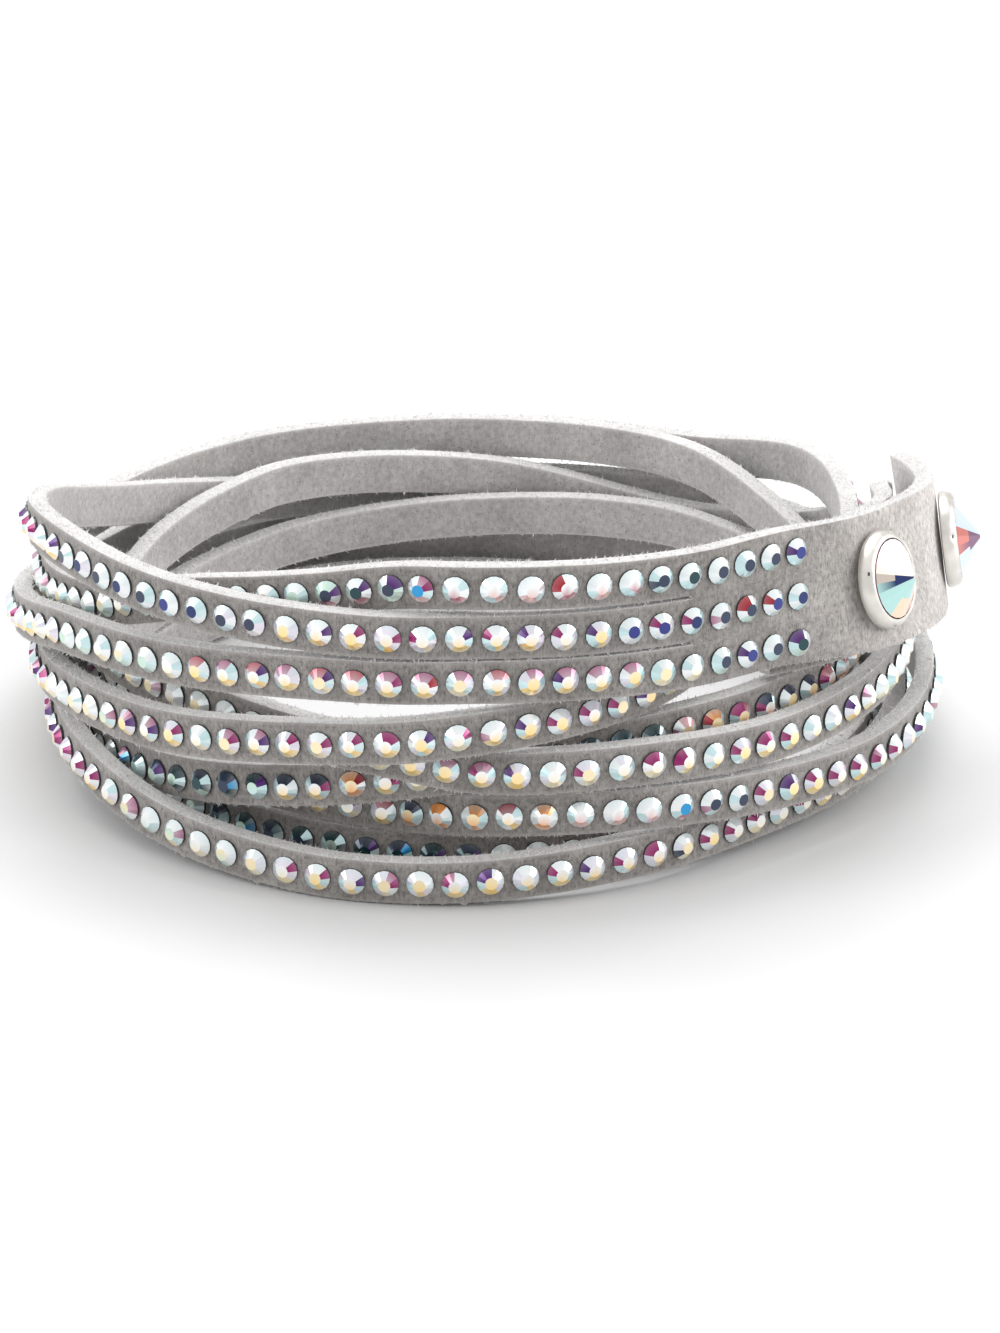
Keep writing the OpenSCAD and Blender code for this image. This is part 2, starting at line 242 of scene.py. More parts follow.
# Sockets of a Mix node that mixes colours
MIX_AMOUNT, MIX_FIRST, MIX_SECOND, MIX_RESULT = 0, 6, 7, 2
# Fineness of the noise per metre, and the parts of its range that show
GRAIN, EDGE_GRAIN, PATCHES, SPECKS = 2600.0, 3400.0, 260.0, 5200.0
METAL_CLOUDS, FLOOR_CLOUDS = 900.0, 40.0
MOTTLE_RANGE, SPECK_RANGE, STREAK_RANGE = (0.3, 0.7), (0.6, 0.72), (0.5, 0.75)
# Heights of the raised nap and of the metal's unevenness, in mm
NAP_HEIGHT, EDGE_NAP_HEIGHT, FIBRE_NAP_HEIGHT, METAL_HEIGHT = 0.12, 0.1, 0.03, 0.05
# Specks and streaks of the suede: their shade as a share of its darker colour, their strength
SPECK_SHADE, SPECK_STRENGTH = 0.55, 0.6
STREAK_SHADE = 0.6
STREAK_SCALE = (6500.0, 6.0, 1.0)
WEAR_STRENGTH = 0.55
WORN_METAL = 0.82  # share of its brightness in the dull spots
METAL_ROUGHNESS = (0.22, 0.45)


def connect(tree, node, inputs):
    """Link each named input of a node to a socket, or set it to a value."""
    for label, value in inputs.items():
        if isinstance(value, bpy.types.NodeSocket):
            tree.links.new(value, node.inputs[label])
        else:
            node.inputs[label].default_value = value


def add_node(tree, kind, inputs=None, **settings):
    """New shader node with its settings and inputs."""
    node = tree.nodes.new("ShaderNode" + kind)
    for name, value in settings.items():
        setattr(node, name, value)
    connect(tree, node, inputs or {})
    return node


def place_of(tree, space):
    """Coordinates of a shaded point, of the object or of its UV map."""
    return add_node(tree, "TexCoord").outputs[space]


def calculated(tree, kind, first, second=0.0):
    """Result of a Math node."""
    return add_node(tree, "Math", {0: first, 1: second}, operation=kind).outputs["Value"]


def ranged(tree, value, low, high, to_low=0.0, to_high=1.0):
    """A value taken from one range to another and held at its ends."""
    ends = {"From Min": low, "From Max": high, "To Min": to_low, "To Max": to_high}
    return add_node(tree, "MapRange", {"Value": value, **ends}).outputs["Result"]


def clouds(tree, place, scale, detail, roughness=0.5):
    """Value of a noise texture."""
    inputs = {"Vector": place, "Scale": scale, "Detail": detail, "Roughness": roughness}
    return add_node(tree, "TexNoise", inputs).outputs["Fac"]


def mixed(tree, amount, colour, other, blend="MIX"):
    """A colour blended with a fixed other one by an amount."""
    inputs = {MIX_AMOUNT: amount, MIX_FIRST: colour, MIX_SECOND: (*other, 1)}
    return add_node(tree, "Mix", inputs, data_type="RGBA", blend_type=blend).outputs[MIX_RESULT]


def colour_ramp(tree, value, stops):
    """Colour of a ramp with stops of place and colour."""
    ramp = add_node(tree, "ValToRGB", {"Fac": value})
    elements = ramp.color_ramp.elements
    while len(elements) < len(stops):
        elements.new(0.5)
    for element, (place, colour) in zip(elements, stops):
        element.position = place
        element.color = (*colour, 1)
    return ramp.outputs["Color"]


def node_group(name, inputs, outputs):
    """New shader group with named number sockets, its start and its end."""
    group = bpy.data.node_groups.new(name, "ShaderNodeTree")
    for label, value in inputs.items():
        socket = group.interface.new_socket(label, in_out="INPUT", socket_type="NodeSocketFloat")
        socket.default_value = value
    for label in outputs:
        group.interface.new_socket(label, in_out="OUTPUT", socket_type="NodeSocketFloat")
    return group, group.nodes.new("NodeGroupInput"), group.nodes.new("NodeGroupOutput")


def speckle_group():
    """Mottling of a nap in two sizes, its sparse dark specks and its height."""
    name = "Nap Speckle"
    if name in bpy.data.node_groups:
        return bpy.data.node_groups[name]
    group, start, end = node_group(
        name,
        {
            "Grain per metre": GRAIN, "Patch per metre": PATCHES,
            "Patch share": 0.35, "Speck per metre": SPECKS,
        },
        ("Mask", "Specks", "Height"),
    )
    place = place_of(group, "Object")
    grain = clouds(group, place, start.outputs["Grain per metre"], detail=3.0, roughness=0.7)
    patch = clouds(group, place, start.outputs["Patch per metre"], detail=4.0)
    speck = clouds(group, place, start.outputs["Speck per metre"], detail=1.0)
    both = add_node(group, "Mix", {"Factor": start.outputs["Patch share"], "A": grain, "B": patch})
    connect(group, end, {
        "Mask": ranged(group, both.outputs["Result"], *MOTTLE_RANGE),
        "Specks": ranged(group, speck, *SPECK_RANGE),
        "Height": grain,
    })
    return group


def edge_wear_group():
    """Mask that rises from 0 to 1 towards the two long edges of a strand."""
    name = "Edge Wear"
    if name in bpy.data.node_groups:
        return bpy.data.node_groups[name]
    group, start, end = node_group(name, {"Worn share": 0.1, "Start along": 0.0}, ("Mask",))
    worn_share = start.outputs["Worn share"]
    split = add_node(group, "SeparateXYZ", {"Vector": place_of(group, "UV")})
    in_strand = calculated(group, "MODULO", split.outputs["Y"], 1 + 1 / ACROSS)
    off_middle = calculated(group, "ABSOLUTE", calculated(group, "SUBTRACT", in_strand, 0.5))
    inner = calculated(group, "SUBTRACT", 0.5, worn_share)
    rise = calculated(group, "DIVIDE", calculated(group, "SUBTRACT", off_middle, inner), worn_share)
    worn = calculated(group, "MAXIMUM", calculated(group, "MINIMUM", rise, 1.0))
    past = calculated(group, "GREATER_THAN", split.outputs["X"], start.outputs["Start along"])
    connect(group, end, {"Mask": calculated(group, "MULTIPLY", worn, past)})
    return group


def shader(name):
    """New material with its node tree and Principled shader."""
    material = bpy.data.materials.new(name)
    material.use_nodes = True
    return material, material.node_tree, material.node_tree.nodes["Principled BSDF"]


def suede_material(name, dark, light, streaks=0.0, tab_light=None, grain=GRAIN, height=NAP_HEIGHT):
    """Napped suede: mottled colour, dark specks, streaks, worn edges, painted light towards the
    tab's tip and a fine raised nap.
    """
    material, tree, principled = shader(name)
    speckle = add_node(tree, "Group", {"Grain per metre": grain}, node_tree=speckle_group())
    between = [(a + b) / 2 for a, b in zip(dark, light)]
    stops = [(0.0, dark), (0.55, between), (1.0, light)]
    colour = colour_ramp(tree, speckle.outputs["Mask"], stops)
    specks = calculated(tree, "MULTIPLY", speckle.outputs["Specks"], SPECK_STRENGTH)
    colour = mixed(tree, specks, colour, [c * SPECK_SHADE for c in dark])
    if streaks:
        run = add_node(tree, "Mapping", {"Vector": place_of(tree, "UV"), "Scale": STREAK_SCALE})
        fibres = clouds(tree, run.outputs["Vector"], 1.0, detail=2.0)
        faint = ranged(tree, fibres, *STREAK_RANGE, to_high=streaks)
        colour = mixed(tree, faint, colour, [c * STREAK_SHADE for c in dark])
        from_tab = {"Start along": OUTER_TAB_LENGTH * MM}
        wear = add_node(tree, "Group", from_tab, node_tree=edge_wear_group())
        worn = calculated(tree, "MULTIPLY", wear.outputs["Mask"], WEAR_STRENGTH)
        colour = mixed(tree, worn, colour, light)
    # painted light: the tab is painted paler towards its tip, where the light from the right falls
    if tab_light:
        split = add_node(tree, "SeparateXYZ", {"Vector": place_of(tree, "UV")})
        reach = ranged(tree, split.outputs["X"], TAB_LIGHT_START * MM, TAB_LIGHT_FULL * MM)
        colour = mixed(tree, reach, colour, tab_light, "MULTIPLY")
    bump = add_node(tree, "Bump", {
        "Strength": 0.6, "Distance": height * MM, "Height": speckle.outputs["Height"],
    })
    connect(tree, principled, {
        "Base Color": colour, "Normal": bump.outputs["Normal"], "Roughness": 0.95,
        "Specular IOR Level": 0.2, "Sheen Weight": 0.3, "Sheen Roughness": 0.5,
    })
    return material


def faceted_material(name, roughness):
    """Coated glass over a bright foil: each facet keeps its own colour, the coating's colours as
    painted reflections.
    """
    material, tree, principled = shader(name)
    facet = add_node(tree, "VertexColor", layer_name="facet")
    connect(tree, principled, {
        "Base Color": facet.outputs["Color"], "Metallic": 0.45, "Roughness": roughness,
        "Coat Weight": 0.3, "Coat Roughness": 0.03,
    })
    return material


def metal_material(name, colour):
    """Pale plated metal with faint unevenness and dull spots."""
    material, tree, principled = shader(name)
    cloud = clouds(tree, place_of(tree, "Object"), METAL_CLOUDS, detail=4.0)
    worn = [c * WORN_METAL for c in colour]
    bump = add_node(tree, "Bump", {
        "Strength": 0.15, "Distance": METAL_HEIGHT * MM, "Height": cloud,
    })
    connect(tree, principled, {
        "Base Color": colour_ramp(tree, cloud, [(0.35, worn), (0.65, colour)]),
        "Normal": bump.outputs["Normal"], "Metallic": 1.0,
        "Roughness": ranged(tree, cloud, 0.0, 1.0, *METAL_ROUGHNESS),
    })
    return material


# ------------------------------------------------------------------- suede

SHEET_ORDER = (LOWER, MIDDLE, UPPER)  # strands side by side in the flat sheet
ACROSS = 4  # faces across a strand
OUTER_TAB_LENGTH = 40.0
# The tab is painted paler towards its tip as painted light from the right: where that starts and is
# full, from its tip, and by how much
TAB_LIGHT_START, TAB_LIGHT_FULL = 34.0, 12.0
TAB_LIGHT_FACE, TAB_LIGHT_INSIDE = (2.1, 2.1, 2.12), (1.4, 1.4, 1.4)
FACE_STREAKS, INSIDE_STREAKS = 0.75, 0.35
# Unevenness of a cut edge: its size, its waves per mm and the step from one column to the next
WAVER, WAVER_PER_MM, WAVER_STEP = 0.02, 0.35, 3.1
SOFT_EDGE, SOFT_FROM = 0.16, 50  # width of the rounded rims, from this bend in degrees


def stations(start, end, step):
    """Evenly spaced angles from start, without the end, at most a step apart."""
    count = math.ceil((end - start) / step)
    return [start + (end - start) * i / count for i in range(count)]


def band_sheet(step):
    """The band's mid surface as one sheet with its two slits cut open."""
    angles = stations(OUTER_TIP, OUTER_SLIT, step) + stations(OUTER_SLIT, INNER_SLIT, step)
    angles += stations(INNER_SLIT, INNER_TIP, step) + [INNER_TIP]
    first, last, end = angles.index(OUTER_SLIT), angles.index(INNER_SLIT), len(angles) - 1
    per_strand = ACROSS + 1
    columns = len(SHEET_ORDER) * per_strand
    bm = bmesh.new()
    bmesh.ops.create_grid(bm, x_segments=end, y_segments=columns - 1, size=0.5)
    cell = {}
    for vert in bm.verts:
        cell[vert] = (round((vert.co.x + 0.5) * end), round((vert.co.y + 0.5) * (columns - 1)))

    def in_slit(face):
        i, c = min(cell[vert] for vert in face.verts)
        return i >= first and c % per_strand == ACROSS

    cut = [face for face in bm.faces if in_slit(face)]
    bmesh.ops.delete(bm, geom=cut, context="FACES_ONLY")
    bmesh.ops.delete(bm, geom=[e for e in bm.edges if not e.link_faces], context="EDGES")
    frames, run = {}, {}
    for strand in SHEET_ORDER:
        length = 0.0
        for i, angle in enumerate(angles):
            frames[strand, i] = (centre(strand, angle), *directions(strand, angle)[:2])
            if i:
                length += (frames[strand, i][0] - frames[strand, i - 1][0]).length
            run[strand, i] = length
    uv = bm.loops.layers.uv.new("Band")
    for vert in bm.verts:
        i, c = cell[vert]
        strand = SHEET_ORDER[c // per_strand]
        share = (c % per_strand) / ACROSS - 0.5
        origin, along, across = frames[strand, i]
        waver = WAVER * noise.noise(Vector((run[strand, i] * WAVER_PER_MM, c * WAVER_STEP, 0)))
        point = origin + across * (share * STRAND_WIDTH + waver)
        if i in (0, end):
            # both tabs end in one straight cut, square to the strand in their middle
            square, heading, _ = frames[INNER_ORDER[1] if i else OUTER_ORDER[1], i]
            point += along * (square - point).dot(heading) / along.dot(heading)
        vert.co = point * MM

    def edge_chain(strand, top):
        """Edges of a strand's upper or lower side within the inner tab."""
        c = SHEET_ORDER.index(strand) * per_strand + (ACROSS if top else 0)
        verts = {v for v in bm.verts if cell[v][1] == c and cell[v][0] >= last}
        return [e for e in bm.edges if e.verts[0] in verts and e.verts[1] in verts]

    # the inner tab's strands lie in another order than the sheet's, so they are bridged
    for low, high in zip(INNER_ORDER, INNER_ORDER[1:]):
        bmesh.ops.bridge_loops(bm, edges=edge_chain(low, True) + edge_chain(high, False))
    for vert in bm.verts:
        i, c = cell[vert]
        for loop in vert.link_loops:
            loop[uv].uv = (run[SHEET_ORDER[c // per_strand], i] * MM, c / ACROSS)
    bmesh.ops.recalc_face_normals(bm, faces=bm.faces[:])
    for face in bm.faces:
        face.smooth = True
    return bm


class BRACELET_OT_band(bpy.types.Operator):
    """Make the suede band"""

    bl_idname = "bracelet.band"
    bl_label = "Suede Band"

    def execute(self, context):
        settings = context.scene.bracelet
        face = suede_material(
            "Suede Face", settings.suede_dark, settings.suede_light, FACE_STREAKS, TAB_LIGHT_FACE
        )
        edge = suede_material(
            "Suede Cut Edge", settings.edge_dark, settings.edge_light,
            grain=EDGE_GRAIN, height=EDGE_NAP_HEIGHT,
        )
        inside = suede_material(
            "Suede Inside", settings.inside_dark, settings.inside_light,
            INSIDE_STREAKS, TAB_LIGHT_INSIDE,
        )
        sheet = band_sheet(settings.section_step)
        band = new_object("suede_band_soft", sheet, [face, inside, edge])
        wall = band.modifiers.new("Suede thickness", "SOLIDIFY")
        wall.thickness = THICKNESS * MM
        wall.offset = 0.0
        wall.material_offset = 1  # inside
        wall.material_offset_rim = 2  # edge
        soft = band.modifiers.new("Soft edges", "BEVEL")
        soft.width = SOFT_EDGE * MM
        soft.segments = 2
        soft.limit_method = "ANGLE"
        soft.angle_limit = math.radians(SOFT_FROM)
        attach(band, "root")
        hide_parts("suede_band")
        return {"FINISHED"}


FUZZ_SEED = 7
TUFTS = 6
TUFT_LENGTH = 2.0
TUFT_FIBRES = 25
FIBRE_RADIUS = 0.036
FIBRE_LENGTHS = (0.12, 0.42)
FIBRE_LEAN = 1.0  # radians


def fibre_tuft(rng):
    """Mesh of short fibres that stand along a stretch of a cut edge, +Z away from it."""
    bm = bmesh.new()
    for _ in range(TUFT_FIBRES):
        length = rng.uniform(*FIBRE_LENGTHS)
        foot = (rng.uniform(-0.5, 0.5) * TUFT_LENGTH, rng.uniform(-0.5, 0.5) * THICKNESS, 0)
        place = Matrix.Translation(foot)
        for axis in "XY":
            place @= Matrix.Rotation(rng.uniform(-FIBRE_LEAN, FIBRE_LEAN), 4, axis)
        place @= Matrix.Translation((0, 0, length / 2 - FIBRE_RADIUS))
        bmesh.ops.create_cone(
            bm, cap_ends=True, segments=3, radius1=FIBRE_RADIUS, radius2=0,
            depth=length, matrix=place,
        )
    tuft = bpy.data.meshes.new("tuft")
    bm.to_mesh(tuft)
    bm.free()
    return tuft


def edge_places(strand, start, end, side):
    """Places of the tufts on one cut edge of a strand, one side of its width."""
    angle, due, run = start, 0.0, 0.0
    here = centre(strand, angle)
    while angle < end:
        if run >= due:
            along, across, out = directions(strand, angle)
            due += TUFT_LENGTH
            edge = here + across * (side * STRAND_WIDTH / 2)
            yield placing(edge, along * side, out, across * side)
        ahead = centre(strand, angle + FUZZ_STEP)
        run, angle, here = run + (ahead - here).length, angle + FUZZ_STEP, ahead


class BRACELET_OT_fuzz(bpy.types.Operator):
    """Raise the short fibres along the band's cut edges"""

    bl_idname = "bracelet.fuzz"
    bl_label = "Cut Edge Fuzz"

    def execute(self, context):
        rng = random.Random(FUZZ_SEED)
        tufts = [fibre_tuft(rng) for _ in range(TUFTS)]
        stretches = [
            (strand, OUTER_SLIT, INNER_SLIT, side) for strand in SHEET_ORDER for side in (-1, 1)
        ]
        tabs = (OUTER_ORDER, OUTER_TIP, OUTER_SLIT), (INNER_ORDER, INNER_SLIT, INNER_TIP)
        for order, start, end in tabs:
            stretches += [(order[0], start, end, -1), (order[-1], start, end, 1)]
        bm = bmesh.new()
        for stretch in stretches:
            for place in edge_places(*stretch):
                tuft = rng.choice(tufts).copy()
                tuft.transform(place)
                bm.from_mesh(tuft)
                bpy.data.meshes.remove(tuft)
        settings = context.scene.bracelet
        fibre = suede_material(
            "Suede Fibre", settings.edge_light, settings.fibre_light, height=FIBRE_NAP_HEIGHT
        )
        fuzz = new_object("suede_edge_fuzz", bm, [fibre])
        for tuft in tufts:
            bpy.data.meshes.remove(tuft)
        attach(fuzz, "root")
        return {"FINISHED"}


# ------------------------------------------------------------------ stones

WHITE = (0.90, 0.92, 0.93)
PALE_CYAN = (0.60, 0.80, 0.82)
MINT = (0.58, 0.76, 0.66)
CREAM = (0.93, 0.80, 0.52)
YELLOW = (0.98, 0.68, 0.22)
ORANGE = (0.80, 0.32, 0.09)
PINK = (0.78, 0.44, 0.40)
ROSE = (0.46, 0.13, 0.16)
MAUVE = (0.41, 0.17, 0.27)
LILAC = (0.80, 0.75, 0.84)
MAGENTA = (0.28, 0.003, 0.12)
RED = (0.36, 0.006, 0.02)
PURPLE = (0.07, 0.004, 0.15)
NAVY = (0.012, 0.03, 0.13)
INDIGO = (0.03, 0.04, 0.22)
TEAL = (0.01, 0.05, 0.06)
SLATE = (0.03, 0.045, 0.085)
SKY_BLUE = (0.02, 0.30, 0.62)
# RIM: the stones' walls, a dark foil edge with painted shadow around each stone's foot
RIM = (0.06, 0.065, 0.065)

STONE_SEED = 100
STONE_SIDES = 16
TABLE_DIAMETER = 0.84
STONE_HEIGHT = 0.6
STONE_GIRDLE = 0.14
NEAR_GIRDLE = 1.3 * STONE_GIRDLE  # height below which a corner belongs to the girdle
STONE_ROUGHNESS = 0.12
STONE_SHIFT, STONE_TURN, STONE_TILT = 0.06, 20, 4  # each stone's own, up to this many mm or degrees
LEVEL, UPRIGHT = 0.9, 0.1  # steepness of the normal of a table, and of a wall
# Broad facets of a stone's crown, from the right and anticlockwise
RIGHT, TOP_RIGHT, TOP_LEFT, LEFT, LOW_LEFT, BOTTOM_LEFT, BOTTOM_RIGHT, LOW_RIGHT = range(8)
FACET_SPAN = 45
SIDE_VIEW = 6  # degrees from which a stone faces clearly to one side
SECOND_ACCENT, DARK_LOW_LEFT, PLAIN_BOTTOM = 0.3, 0.15, 0.35  # shares of the stones
DARK_TABLE = 0.4  # tables with less red than this keep one even colour
DARK_GREEN, ROSY_GREEN = 0.06, 0.3  # facets with less green are a dark spot or a rosy sheen
TABLE_FADE = 0.85  # how far a table takes the lowest facet's colour on its lower side
BOTTOM_FADE, SPOT_FADE, SHEEN_FADE, PALE_FADE = 0.45, 0.1, 0.3, 0.4  # how far facets fade

# Tones of the coating as painted reflections: tables, tops, sides, bottoms, accents, share of
# stones with an accent
TONES = {
    "night": (
        (NAVY, SLATE, INDIGO, SLATE, TEAL), (WHITE,), (PALE_CYAN, WHITE), (WHITE, MINT, PALE_CYAN),
        (MAGENTA, RED, PURPLE), 0.5,
    ),
    "dusk": (
        (NAVY, SLATE, NAVY, INDIGO, TEAL), (WHITE,), (WHITE, LILAC, PALE_CYAN), (WHITE, PALE_CYAN),
        (RED, PURPLE, MAUVE), 0.35,
    ),
    "violet": (
        (WHITE, CREAM, WHITE), (WHITE, LILAC), (PALE_CYAN, WHITE, LILAC), (CREAM, YELLOW, YELLOW),
        (PURPLE, MAGENTA, MAGENTA), 0.75,
    ),
    "rosy": (
        (WHITE, CREAM), (MAUVE, ROSE, MAUVE), (PALE_CYAN, WHITE, LILAC), (YELLOW, YELLOW, CREAM),
        (PURPLE, PURPLE, RED, MAGENTA), 0.5,
    ),
    "pale": (
        (WHITE, CREAM, MINT), (WHITE,), (PALE_CYAN, WHITE), (CREAM, MINT, CREAM),
        (MAUVE,), 0.15,
    ),
    "pink": (
        (WHITE, CREAM, WHITE, SKY_BLUE), (WHITE,), (PALE_CYAN, WHITE), (ROSE, PINK, PINK),
        (MAGENTA, RED), 0.3,
    ),
    "ember": (
        (WHITE, CREAM), (ROSE, ORANGE, SLATE), (WHITE, PALE_CYAN), (ORANGE, YELLOW, ORANGE),
        (RED, MAGENTA), 0.4,
    ),
    "eyed": (
        (SLATE, TEAL), (WHITE, MINT), (WHITE, MINT), (ROSE, ROSE, MINT),
        (PURPLE, MAGENTA, RED), 0.8,
    ),
    "deep": (
        (SLATE, TEAL, MINT), (SLATE, TEAL), (TEAL, PALE_CYAN), (MINT, TEAL, PALE_CYAN),
        (PURPLE, SKY_BLUE), 0.3,
    ),
}
# Where each tone starts along the strands: strand, angle, tone
STRETCHES = (
    (UPPER, 47, "night"), (UPPER, 72, "pink"), (UPPER, 99, "eyed"), (UPPER, 111, "pale"),
    (UPPER, 385, "ember"), (UPPER, 424, "deep"), (UPPER, 445, "pale"), (UPPER, 462, "ember"),
    (UPPER, 479, "deep"), (UPPER, 510, "pale"), (UPPER, 808, "deep"), (UPPER, 850, "pale"),
    (MIDDLE, 47, "night"), (MIDDLE, 75, "violet"), (MIDDLE, 113, "dusk"), (MIDDLE, 150, "violet"),
    (MIDDLE, 190, "pale"), (MIDDLE, 395, "violet"), (MIDDLE, 448, "rosy"), (MIDDLE, 470, "pale"),
    (MIDDLE, 735, "violet"), (MIDDLE, 773, "night"), (MIDDLE, 785, "pink"), (MIDDLE, 800, "ember"),
    (MIDDLE, 822, "rosy"), (MIDDLE, 840, "violet"), (MIDDLE, 910, "pale"),
    (LOWER, 47, "night"), (LOWER, 61, "pale"), (LOWER, 72, "rosy"), (LOWER, 126, "pale"),
    (LOWER, 148, "violet"), (LOWER, 190, "pale"), (LOWER, 410, "violet"), (LOWER, 498, "pale"),
    (LOWER, 517, "violet"), (LOWER, 560, "pale"), (LOWER, 735, "violet"), (LOWER, 838, "pale"),
    (LOWER, 860, "violet"), (LOWER, 915, "pale"),
)
# Places without a stone, where another strand lies flat on this one: strand, angle
COVERED = ((UPPER, 1000), (MIDDLE, 900), (MIDDLE, 905))


def raise_top(bm, steps):
    """Extrude the highest face in steps of rise and scale; the first face stays as the foot."""
    for i, (rise, scale) in enumerate(steps):
        top = max(bm.faces, key=lambda f: f.calc_center_median().z)
        made = bmesh.ops.extrude_face_region(bm, geom=[top])
        verts = [v for v in made["geom"] if isinstance(v, bmesh.types.BMVert)]
        bmesh.ops.translate(bm, verts=verts, vec=(0, 0, rise))
        bmesh.ops.scale(bm, verts=verts, vec=(scale, scale, 1))
        if i:
            bmesh.ops.delete(bm, geom=[top], context="FACES_ONLY")


def stone_template(diameter):
    """A small flat-backed stone: girdle wall, crown of eight broad facets, a table."""
    bm = bmesh.new()
    bmesh.ops.create_circle(bm, cap_ends=True, segments=STONE_SIDES, radius=diameter / 2)
    raise_top(bm, ((STONE_GIRDLE, 1.0), (STONE_HEIGHT - STONE_GIRDLE, TABLE_DIAMETER / diameter)))
    bmesh.ops.recalc_face_normals(bm, faces=bm.faces[:])
    bm.loops.layers.float_color.new("facet")
    return bm


def facing(out):
    """Side to which a face looks, in degrees: 0 front, positive to the right."""
    return math.degrees(math.atan2(out.x, -out.y))


def facet_of(face):
    """Name of a face of the stone template: wall, table or the number of its broad facet."""
    steepness = face.normal.z
    if steepness > LEVEL:
        return "table"
    if steepness <= UPRIGHT:
        return "wall"
    middle = face.calc_center_median()
    return int(math.degrees(math.atan2(middle.y, middle.x)) % 360 / FACET_SPAN)


def stone_colours(strand, angle, side, rng):
    """Colours of a stone's wall, table and eight broad facets: the wall a dark foil edge with
    painted shadow, the rest painted reflections in the coating's colours.
    """
    tone = [name for row, first, name in STRETCHES if row == strand and first <= angle][-1]
    tables, tops, sides, bottoms, accents, share = TONES[tone]
    top, bottom = rng.choice(tops), rng.choice(bottoms)
    crown = [
        rng.choice(sides), top, top, rng.choice(sides),
        rng.choice(sides), bottom, bottom, rng.choice(sides),
    ]
    # painted reflection: the accent goes to the left or right facet by the side the stone faces
    if rng.random() < share:
        spot = LEFT if side > SIDE_VIEW or (side > -SIDE_VIEW and rng.random() < 0.5) else RIGHT
        crown[spot] = rng.choice(accents)
        if rng.random() < SECOND_ACCENT:
            crown[TOP_LEFT if spot == LEFT else TOP_RIGHT] = rng.choice((crown[spot], MAUVE))
    elif rng.random() < DARK_LOW_LEFT:
        crown[LOW_LEFT] = rng.choice((SLATE, MAUVE))
    if rng.random() < PLAIN_BOTTOM:
        crown[BOTTOM_LEFT] = rng.choice(sides)
    return {"wall": RIM, "table": rng.choice(tables), **dict(enumerate(crown))}


def facet_tone(facet, colours, offset, across, out):
    """Colour of a facet at one of its corners: tables fade downwards, facets in or outwards, as
    painted reflections.
    """
    colour = Vector(colours[facet])
    low = offset.dot(out) < NEAR_GIRDLE
    if facet == "wall" or (facet == "table" and colour.x <= DARK_TABLE):
        return colour
    if facet == "table":
        below = max(-offset.dot(across), 0) / (TABLE_DIAMETER / 2)
        other, share = colours[BOTTOM_RIGHT], TABLE_FADE * below
    elif facet in (BOTTOM_LEFT, BOTTOM_RIGHT, LOW_RIGHT):
        other, share = PALE_CYAN if facet == BOTTOM_LEFT else WHITE, BOTTOM_FADE * low
    elif colour.y < DARK_GREEN:
        other, share = WHITE, SPOT_FADE * low
    elif colour.y < ROSY_GREEN:
        other, share = WHITE, SHEEN_FADE * (not low)
    else:
        other, share = PALE_CYAN, PALE_FADE * low
    return colour.lerp(Vector(other), share)


def stone_angles(strand):
    """Angles of the stones of one strand, evenly spaced along its length."""
    angle, run, due, found = FIRST_STONE, 0.0, 0.0, []
    here = centre(strand, angle)
    while angle < LAST_STONE:
        ahead = centre(strand, angle + STONE_STEP)
        reach = (ahead - here).length
        while due < run + reach and angle + STONE_STEP <= LAST_STONE:
            found.append(angle + STONE_STEP * (due - run) / reach)
            due += STONE_PITCH
        run, angle, here = run + reach, angle + STONE_STEP, ahead
    return found


class BRACELET_OT_stones(bpy.types.Operator):
    """Set the rows of small stones on the three strands"""

    bl_idname = "bracelet.stones"
    bl_label = "Small Stones"

    def execute(self, context):
        settings = context.scene.bracelet
        material = faceted_material("Coated Glass", STONE_ROUGHNESS)
        template = stone_template(settings.stone_diameter)
        facets = [facet_of(face) for face in template.faces]
        shape = bpy.data.meshes.new("stone template")
        template.to_mesh(shape)
        template.free()
        for strand, name in ((UPPER, "upper"), (MIDDLE, "middle"), (LOWER, "lower")):
            rng = random.Random(STONE_SEED + strand)
            bm = bmesh.new()
            bm.loops.layers.float_color.new("facet")
            for angle in stone_angles(strand):
                along, across, out = directions(strand, angle)
                seat = centre(strand, angle) + out * (THICKNESS / 2 + STONE_SEAT)
                for way in (across, along):
                    seat += way * rng.uniform(-STONE_SHIFT, STONE_SHIFT)
                turn = math.radians(rng.uniform(-STONE_TURN, STONE_TURN))
                tilt = math.radians(rng.uniform(-STONE_TILT, STONE_TILT))
                spin = Matrix.Rotation(tilt, 4, rng.choice("XY")) @ Matrix.Rotation(turn, 4, "Z")
                colours = stone_colours(strand, angle, facing(out), rng)
                if (strand, round(angle)) in COVERED:
                    continue
                verts, faces = len(bm.verts), len(bm.faces)
                bm.from_mesh(shape)
                bm.verts.ensure_lookup_table()
                bm.faces.ensure_lookup_table()
                paint = bm.loops.layers.float_color["facet"]
                place = placing(seat, -along, across, out) @ spin
                bmesh.ops.transform(bm, verts=bm.verts[verts:], matrix=place)
                # painted reflections on the facets and painted shadow on the wall, corner by corner
                for face, facet in zip(bm.faces[faces:], facets):
                    for loop in face.loops:
                        offset = loop.vert.co / MM - seat
                        loop[paint] = (*facet_tone(facet, colours, offset, across, out), 1)
            piece = new_object("stones_%s_cut" % name, bm, [material])
            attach(piece, "root")
            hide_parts("stones_%s" % name)
        bpy.data.meshes.remove(shape)
        return {"FINISHED"}


# --------------------------------------------------------------- snap caps

def snap_axis(snap):
    """Placing of a snap: +Z out of the tab from its mid plane."""
    angle, turn = SNAPS[snap]
    along, across, out = directions(MIDDLE, angle)
    place = placing(centre(MIDDLE, angle), -along, across, out)
    return place @ Matrix.Rotation(math.radians(turn), 4, "Y")


